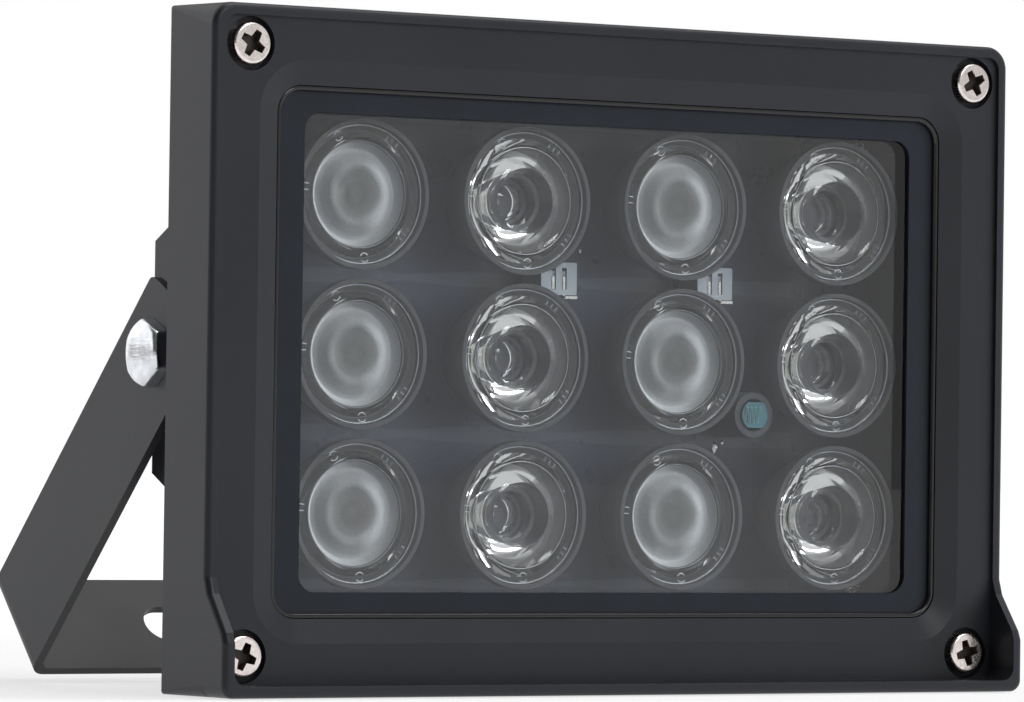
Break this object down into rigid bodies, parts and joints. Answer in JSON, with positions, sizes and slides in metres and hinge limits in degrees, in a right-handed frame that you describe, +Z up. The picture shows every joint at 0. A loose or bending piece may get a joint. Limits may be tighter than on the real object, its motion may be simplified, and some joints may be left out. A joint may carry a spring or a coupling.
{
  "type": "infrared illuminator",
  "caption": "Flat infrared lamp head with a grid of round lenses behind glass, a finned back and a cable gland, tilting on friction pivots in a folded mounting bracket.",
  "frame": {"origin": "centre of the bracket's middle mounting hole, on the outer face of its base", "axes": "+X along the pivot axis, to the viewer's right; +Y from the glass to the back; +Z up, with the glass upright"},
  "size_m": [0.1556, 0.087, 0.11],
  "materials": {
    "cover": "black powder coat, fine texture",
    "housing": "black powder coat, fine texture",
    "bracket": "black powder coat, fine texture",
    "gasket": "matt black",
    "glass": "clear, polished",
    "seal": "matt grey silicone",
    "board": "dark solder mask, satin",
    "emitter": "white body with a clear dome",
    "holder": "matt black",
    "frosted": "frosted on top",
    "clear": "clear, polished",
    "sensor": "glossy resin over the track",
    "sleeve": "smooth, slightly see-through",
    "connector": "satin, light grey",
    "screw": "bright stainless",
    "bolt": "bright nickel",
    "washer": "matt nylon",
    "gland": "satin black",
    "gland_rubber": "matt black",
    "ferrite": "matt ferrite with wound wire",
    "can": "satin",
    "chip": "matt black"
  },
  "bodies": {
    "bracket": {"bracket": "bracket"},
    "head": {"front_cover": "cover", "window_gasket": "gasket", "window_glass": "glass", "housing_seal": "seal", "rear_housing": "housing", "led_board": "board", "light_sensor": "sensor", "sensor_sleeve": "sleeve", "lamp_connector": "connector", "sensor_connector": "connector", "driver_board": "board", "driver_choke": "ferrite", "driver_capacitor": "can", "driver_chip": "chip", "cover_screws": "screw", "board_screws": "screw", "gland_body": "gland", "gland_seal": "gland_rubber", "gland_nut": "gland", "pivot_bolt_right": "bolt", "pivot_bolt_left": "bolt", "friction_washers": "washer", "led_emitter_1": "emitter", "lens_holder_1": "holder", "led_emitter_2": "emitter", "lens_holder_2": "holder", "led_emitter_3": "emitter", "lens_holder_3": "holder", "led_emitter_4": "emitter", "lens_holder_4": "holder", "led_emitter_5": "emitter", "lens_holder_5": "holder", "led_emitter_6": "emitter", "lens_holder_6": "holder", "led_emitter_7": "emitter", "lens_holder_7": "holder", "led_emitter_8": "emitter", "lens_holder_8": "holder", "led_emitter_9": "emitter", "lens_holder_9": "holder", "led_emitter_10": "emitter", "lens_holder_10": "holder", "led_emitter_11": "emitter", "lens_holder_11": "holder", "led_emitter_12": "emitter", "lens_holder_12": "holder", "frosted_lens_1": "frosted", "clear_lens_1": "clear", "frosted_lens_2": "frosted", "clear_lens_2": "clear", "frosted_lens_3": "frosted", "clear_lens_3": "clear", "frosted_lens_4": "frosted", "clear_lens_4": "clear", "frosted_lens_5": "frosted", "clear_lens_5": "clear", "frosted_lens_6": "frosted", "clear_lens_6": "clear"}
  },
  "joints": [
    {"name": "head_tilt", "type": "hinge", "parent": "bracket", "child": "head", "pos_m": [0, -0.04861, 0.04613], "axis": [1, 0, 0], "range_deg": [-130, 44]}
  ]
}
